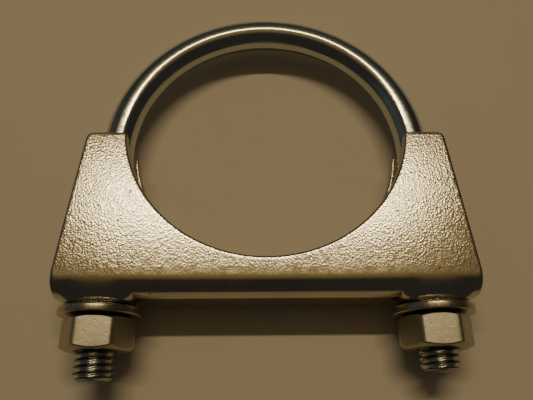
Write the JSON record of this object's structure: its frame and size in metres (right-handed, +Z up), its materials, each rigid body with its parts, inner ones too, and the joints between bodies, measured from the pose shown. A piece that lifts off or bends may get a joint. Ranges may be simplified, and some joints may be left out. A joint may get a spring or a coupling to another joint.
{
  "type": "u-bolt clamp",
  "caption": "Saddle clamp: a round U-shaped rod with threaded legs draws a folded steel saddle against a pipe with nuts and washers.",
  "frame": {"origin": "under the centre of the object's box, on the surface it lies on", "axes": "+X from the left leg to the right leg, +Y from the nuts towards the arch, +Z up along the axis of the clamped pipe"},
  "size_m": [0.0852, 0.0872, 0.0166],
  "materials": {
    "saddle_zinc": "bright zinc plating over pressed sheet with a fine pebbled skin and small pits",
    "rod_zinc": "smooth glossy zinc plating on drawn rod, rolled threads slightly duller",
    "washer_zinc": "satin zinc plating with a soft punched edge",
    "nut_zinc": "satin zinc plating with small dents"
  },
  "bodies": {
    "saddle": {"saddle": "saddle_zinc"},
    "u_bolt": {"u_bolt": "rod_zinc"},
    "left_washer": {"left_washer": "washer_zinc"},
    "right_washer": {"right_washer": "washer_zinc"},
    "left_nut": {"left_nut": "nut_zinc"},
    "right_nut": {"right_nut": "nut_zinc"}
  },
  "joints": [
    {"name": "u_bolt_draw", "type": "slide", "parent": "saddle", "child": "u_bolt", "axis": [0, -1, 0], "range_m": [-0.004, 0.018]},
    {"name": "left_nut_turn", "type": "hinge", "parent": "saddle", "child": "left_nut", "pos_m": [-0.034, -0.0347, 0.0083], "axis": [0, 1, 0], "range_deg": [-1153, 5185]},
    {"name": "right_nut_turn", "type": "hinge", "parent": "saddle", "child": "right_nut", "pos_m": [0.034, -0.0347, 0.0083], "axis": [0, 1, 0], "range_deg": [-1153, 5185]},
    {"name": "left_washer_spin", "type": "hinge", "parent": "saddle", "child": "left_washer", "pos_m": [-0.034, -0.0303, 0.0083], "axis": [0, 1, 0], "continuous": true},
    {"name": "right_washer_spin", "type": "hinge", "parent": "saddle", "child": "right_washer", "pos_m": [0.034, -0.0303, 0.0083], "axis": [0, 1, 0], "continuous": true}
  ],
  "couplings": [
    {"joint": "left_nut_turn", "follows": "u_bolt_draw", "rad_per_m": 5026.5},
    {"joint": "right_nut_turn", "follows": "u_bolt_draw", "rad_per_m": 5026.5}
  ]
}
